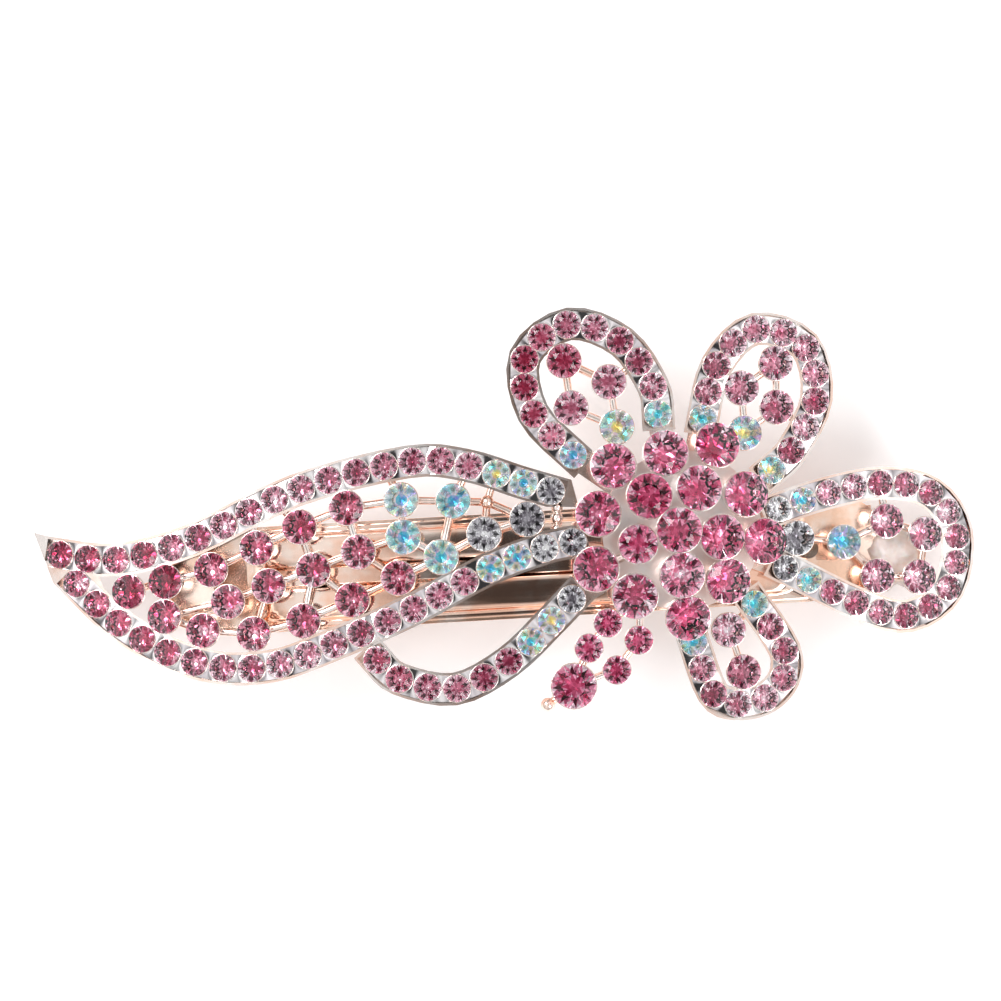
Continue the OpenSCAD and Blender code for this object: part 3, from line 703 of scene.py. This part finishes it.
def dressNode(node, material, edge):
    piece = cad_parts[node]
    if not piece.material_slots:
        piece.data.materials.append(material)
    for slotUsed in piece.material_slots:
        slotUsed.material = material
    bevel = piece.modifiers.new("softEdges", "BEVEL")
    bevel.width = edge
    bevel.segments = 3
    bevel.limit_method = "ANGLE"
    bevel.angle_limit = math.radians(35)
    bevel.harden_normals = False


for finish, (nodeNames, edge) in metalNodes.items():
    for nodeName in nodeNames:
        dressNode(nodeName, metalMaterials[finish], edge)
print("metal dressed")

# Stamped top of the base plate: rolled edges and two ribs, over the plain CAD plate
stampedPlate = {
    "middle": (2.2 * mm, -5.2 * mm), "turn": barretteTurn, "halfWidth": 5.3 * mm,
    "archRadius": 145.8 * mm, "crest": 10.6 * mm, "from": -27.6 * mm, "to": 28.4 * mm, "step": 0.5 * mm,
    "ribOffset": 2.6 * mm, "ribHalf": 1.42 * mm, "ribSide": 0.36 * mm, "ribReach": 25 * mm,
    "ribHeight": 0.54 * mm, "roll": 0.45 * mm, "lift": 0.04 * mm, "crown": 0.07 * mm, "skirt": 0.75 * mm,
    "endDrop": 0.1 * mm,
}


def plateHeight(u, v):
    # height of the stamped top over the plain plate
    p = stampedPlate
    away = max(0, abs(u) - p["ribReach"])
    d = math.hypot(abs(abs(v) - p["ribOffset"]), away)
    share = min(1, max(0, 1 - (d - p["ribHalf"]) / p["ribSide"]))
    rise = p["ribHeight"] * share * share * (3 - 2 * share)
    rise += p["crown"] * max(0, 1 - (d / p["ribHalf"]) ** 2)
    inside = p["roll"] - (p["halfWidth"] - abs(v))
    if inside > 0:
        rise -= p["roll"] - math.sqrt(max(0, p["roll"] ** 2 - inside ** 2))
    ends = min(u - p["from"], p["to"] - u) / (2 * p["step"])
    return p["lift"] + rise - (p["endDrop"] if ends < 0.5 else 0)


def makeStampedPlate():
    p = stampedPlate
    # half the cross-section in mm from the middle, closer together on the ribs' sides and the rolled edge
    inner = [0, 0.4, 0.75, 0.85, 0.92, 1.0, 1.08, 1.15, 1.2, 1.6, 2.1, 2.6, 3.1, 3.6, 4.0, 4.05, 4.12,
             4.2, 4.28, 4.36, 4.6, 4.85, 4.95, 5.05, 5.14, 5.2, 5.25, 5.29, 5.34]
    across = [-v * mm for v in reversed(inner[1:])] + [v * mm for v in inner]
    across = [across[0]] + across + [across[-1]]      # the doubled ends become the skirts
    count = int(round((p["to"] - p["from"]) / p["step"]))
    turn = Matrix.Rotation(p["turn"], 3, "Z")
    verts, faces = [], []
    for i in range(count + 1):
        u = p["from"] + p["step"] * i
        for j, v in enumerate(across):
            drop = p["skirt"] if j in (0, len(across) - 1) else 0
            limited = max(-p["halfWidth"], min(p["halfWidth"], v))
            radius = p["archRadius"] + plateHeight(u, limited) - drop
            spot = turn @ Vector((u, v, 0)) + Vector((*p["middle"], 0))
            verts.append((spot.x, spot.y, p["crest"] - p["archRadius"] + math.sqrt(radius ** 2 - u * u)))
    wide = len(across)
    for i in range(count):
        for j in range(wide - 1):
            corner = i * wide + j
            faces.append([corner, corner + wide, corner + wide + 1, corner + 1])
    newPiece("stamped_plate_top", verts, faces, [metalMaterials["stampedPlate"]], smooth=True)


makeStampedPlate()
print("plate stamped")

# Lump of glue behind the right petal
glueShape = {"steps": 48, "rings": 14, "size": 0.80, "height": 0.72, "lumps": 0.22, "grains": 0.10}


def makeGlueLump():
    low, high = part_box("glue_mass")
    middle, size = (low + high) / 2, (high - low) / 2
    steps, rings = glueShape["steps"], glueShape["rings"]
    verts, faces = [], []
    for j in range(rings + 1):
        tilt = math.pi * j / rings
        for k in range(steps):
            turn = 2 * math.pi * k / steps
            way = Vector((math.sin(tilt) * math.cos(turn), math.sin(tilt) * math.sin(turn), math.cos(tilt)))
            wobble = noise.noise(way * 2.3) * glueShape["lumps"]
            wobble += noise.noise(way * 6.0) * glueShape["grains"]
            shape = glueShape["size"] + wobble
            verts.append(middle + Vector((way.x * size.x * shape, way.y * size.y * shape,
                                          way.z * size.z * (glueShape["height"] + wobble))))
    for j in range(rings):
        for k in range(steps):
            n = (k + 1) % steps
            faces.append([j * steps + k, (j + 1) * steps + k, (j + 1) * steps + n, j * steps + n])
    piece = newPiece("glue_lump", verts, faces, [glueMaterial], smooth=True)
    tidyNormals(piece.data, merge=True)
    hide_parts("glue_mass")


makeGlueLump()
print("glue set")
